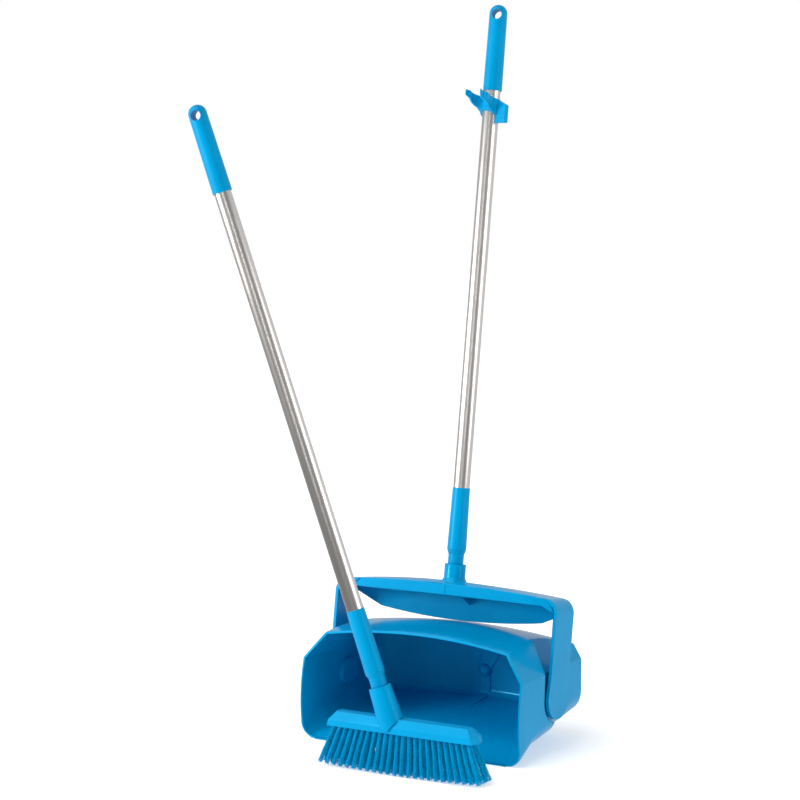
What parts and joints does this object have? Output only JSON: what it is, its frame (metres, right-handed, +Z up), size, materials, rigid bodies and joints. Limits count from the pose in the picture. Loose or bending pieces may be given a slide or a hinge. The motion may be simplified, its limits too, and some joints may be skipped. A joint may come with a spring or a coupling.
{
  "type": "dust pan and brush set",
  "caption": "Lobby dust pan hung in a swinging bow with a long aluminium handle and clip, with a matching long-handled angled broom.",
  "frame": {"origin": "on the floor, at the middle of the pan's lip", "axes": "+Z up, +X to the right of the pan as seen from its mouth, +Y from the mouth to the rear"},
  "size_m": [0.4499, 0.4624, 1.0877],
  "materials": {
    "pan_plastic": "glossy injection moulded",
    "bow_plastic": "glossy injection moulded",
    "ferrule_plastic": "satin moulded",
    "grip_plastic": "satin moulded",
    "clip_plastic": "glossy moulded",
    "aluminium_tube": "satin drawn tube",
    "block_plastic": "semi-gloss moulded",
    "bristle": "bristle filament",
    "anchor_wire": "bright wire"
  },
  "bodies": {
    "pan": {"pan_shell": "pan_plastic"},
    "bow_and_handle": {"bow": "bow_plastic", "pan_ferrule": "ferrule_plastic", "pan_tube": "aluminium_tube", "pan_grip": "grip_plastic"},
    "clip": {"handle_clip": "clip_plastic"},
    "broom": {"brush_block": "block_plastic", "tufts_row_1": "bristle", "tufts_row_2": "bristle", "tufts_row_3": "bristle", "tufts_row_4": "bristle", "tuft_anchors": "anchor_wire", "broom_ferrule": "ferrule_plastic", "broom_tube": "aluminium_tube", "broom_grip": "grip_plastic"}
  },
  "joints": [
    {"name": "bow_hinge", "type": "hinge", "parent": "pan", "child": "bow_and_handle", "pos_m": [0, 0.11, 0.082], "axis": [1, 0, 0], "range_deg": [0, 12]},
    {"name": "clip_slide", "type": "slide", "parent": "bow_and_handle", "child": "clip", "axis": [0, 0.153, 0.9882], "range_m": [-0.54, 0.009]},
    {"name": "broom_lift", "type": "slide", "parent": "pan", "child": "broom", "axis": [0, 0, 1], "range_m": [0, 0.3]}
  ]
}
